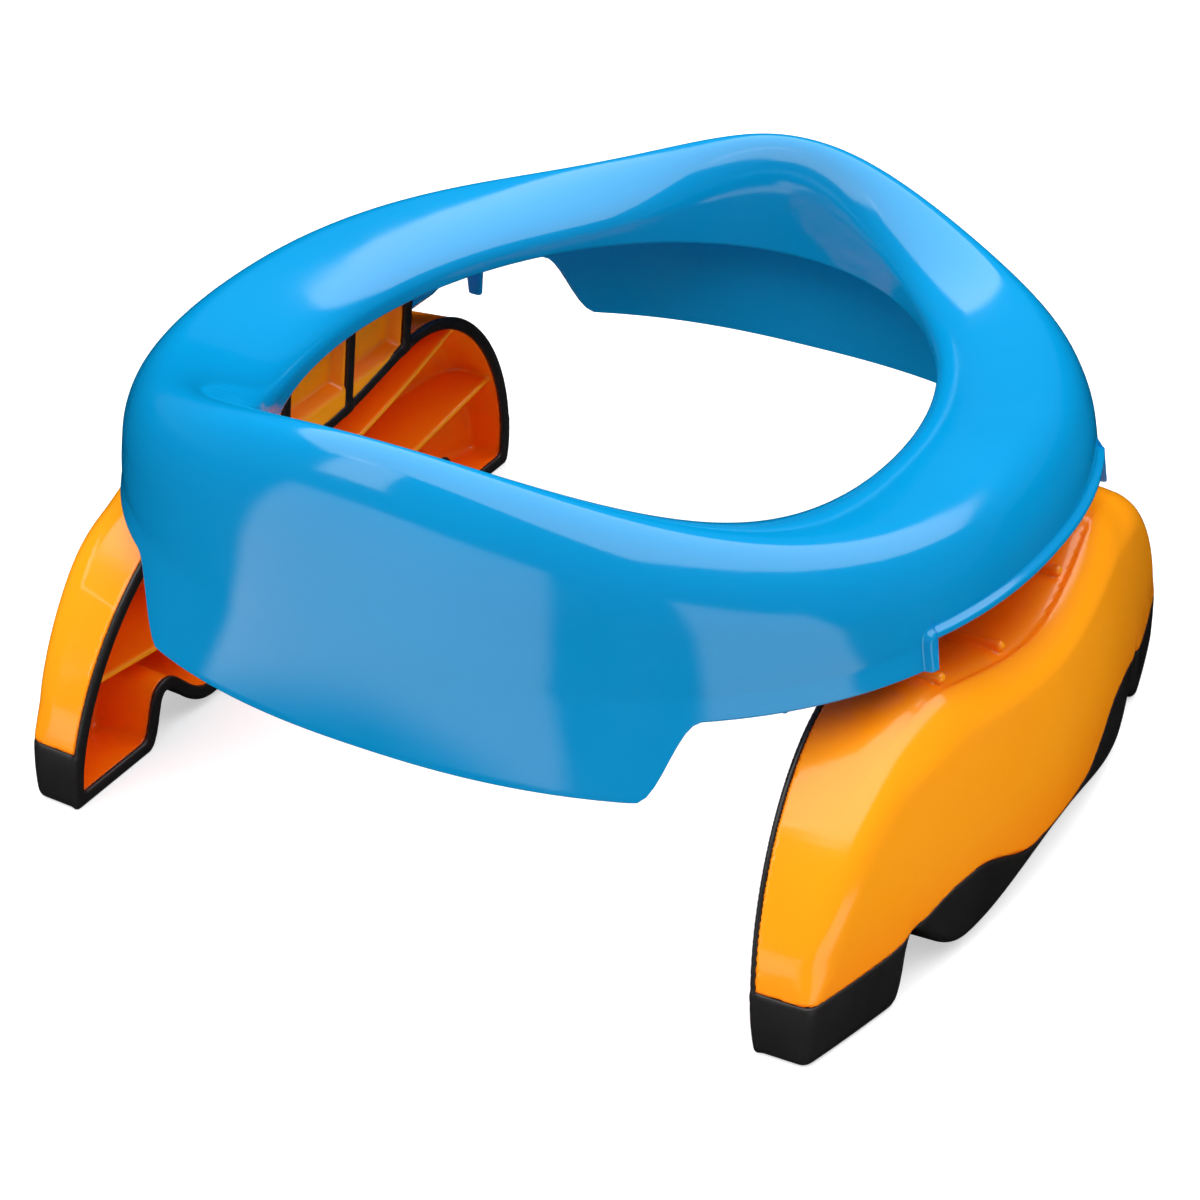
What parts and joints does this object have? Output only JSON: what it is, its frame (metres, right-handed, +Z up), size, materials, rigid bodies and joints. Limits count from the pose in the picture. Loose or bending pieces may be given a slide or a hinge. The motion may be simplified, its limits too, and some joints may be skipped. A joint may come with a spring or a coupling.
{
  "type": "potty training chair",
  "caption": "Folding travel potty chair: a moulded saddle-shaped ring seat on hinged tray legs with rubber rims and feet, opening flat onto a toilet or folding under for storage.",
  "frame": {"origin": "on the floor under the centre of the seat opening, with the legs down", "axes": "+X towards the right-hand leg, +Y towards the back of the seat, +Z up"},
  "size_m": [0.2458, 0.2228, 0.1275],
  "materials": {
    "seat_plastic": "glossy moulded polypropylene, bright blue",
    "leg_plastic": "glossy moulded polypropylene, orange yellow",
    "leg_rubber": "satin soft rubber moulded over the leg, black",
    "pin_steel": "drawn steel rod, lightly brushed"
  },
  "bodies": {
    "seat": {"seat_shell": "seat_plastic", "left_front_hinge_pin": "pin_steel", "left_rear_hinge_pin": "pin_steel", "right_front_hinge_pin": "pin_steel", "right_rear_hinge_pin": "pin_steel"},
    "left_leg": {"left_leg_tray": "leg_plastic", "left_leg_rubber": "leg_rubber"},
    "right_leg": {"right_leg_tray": "leg_plastic", "right_leg_rubber": "leg_rubber"}
  },
  "joints": [
    {"name": "left_leg_hinge", "type": "hinge", "parent": "seat", "child": "left_leg", "pos_m": [-0.0965, 0, 0.0833], "axis": [0, 1, 0], "range_deg": [-76.5, 83.8]},
    {"name": "right_leg_hinge", "type": "hinge", "parent": "seat", "child": "right_leg", "pos_m": [0.0965, 0, 0.0833], "axis": [0, -1, 0], "range_deg": [-76.5, 83.8]}
  ]
}
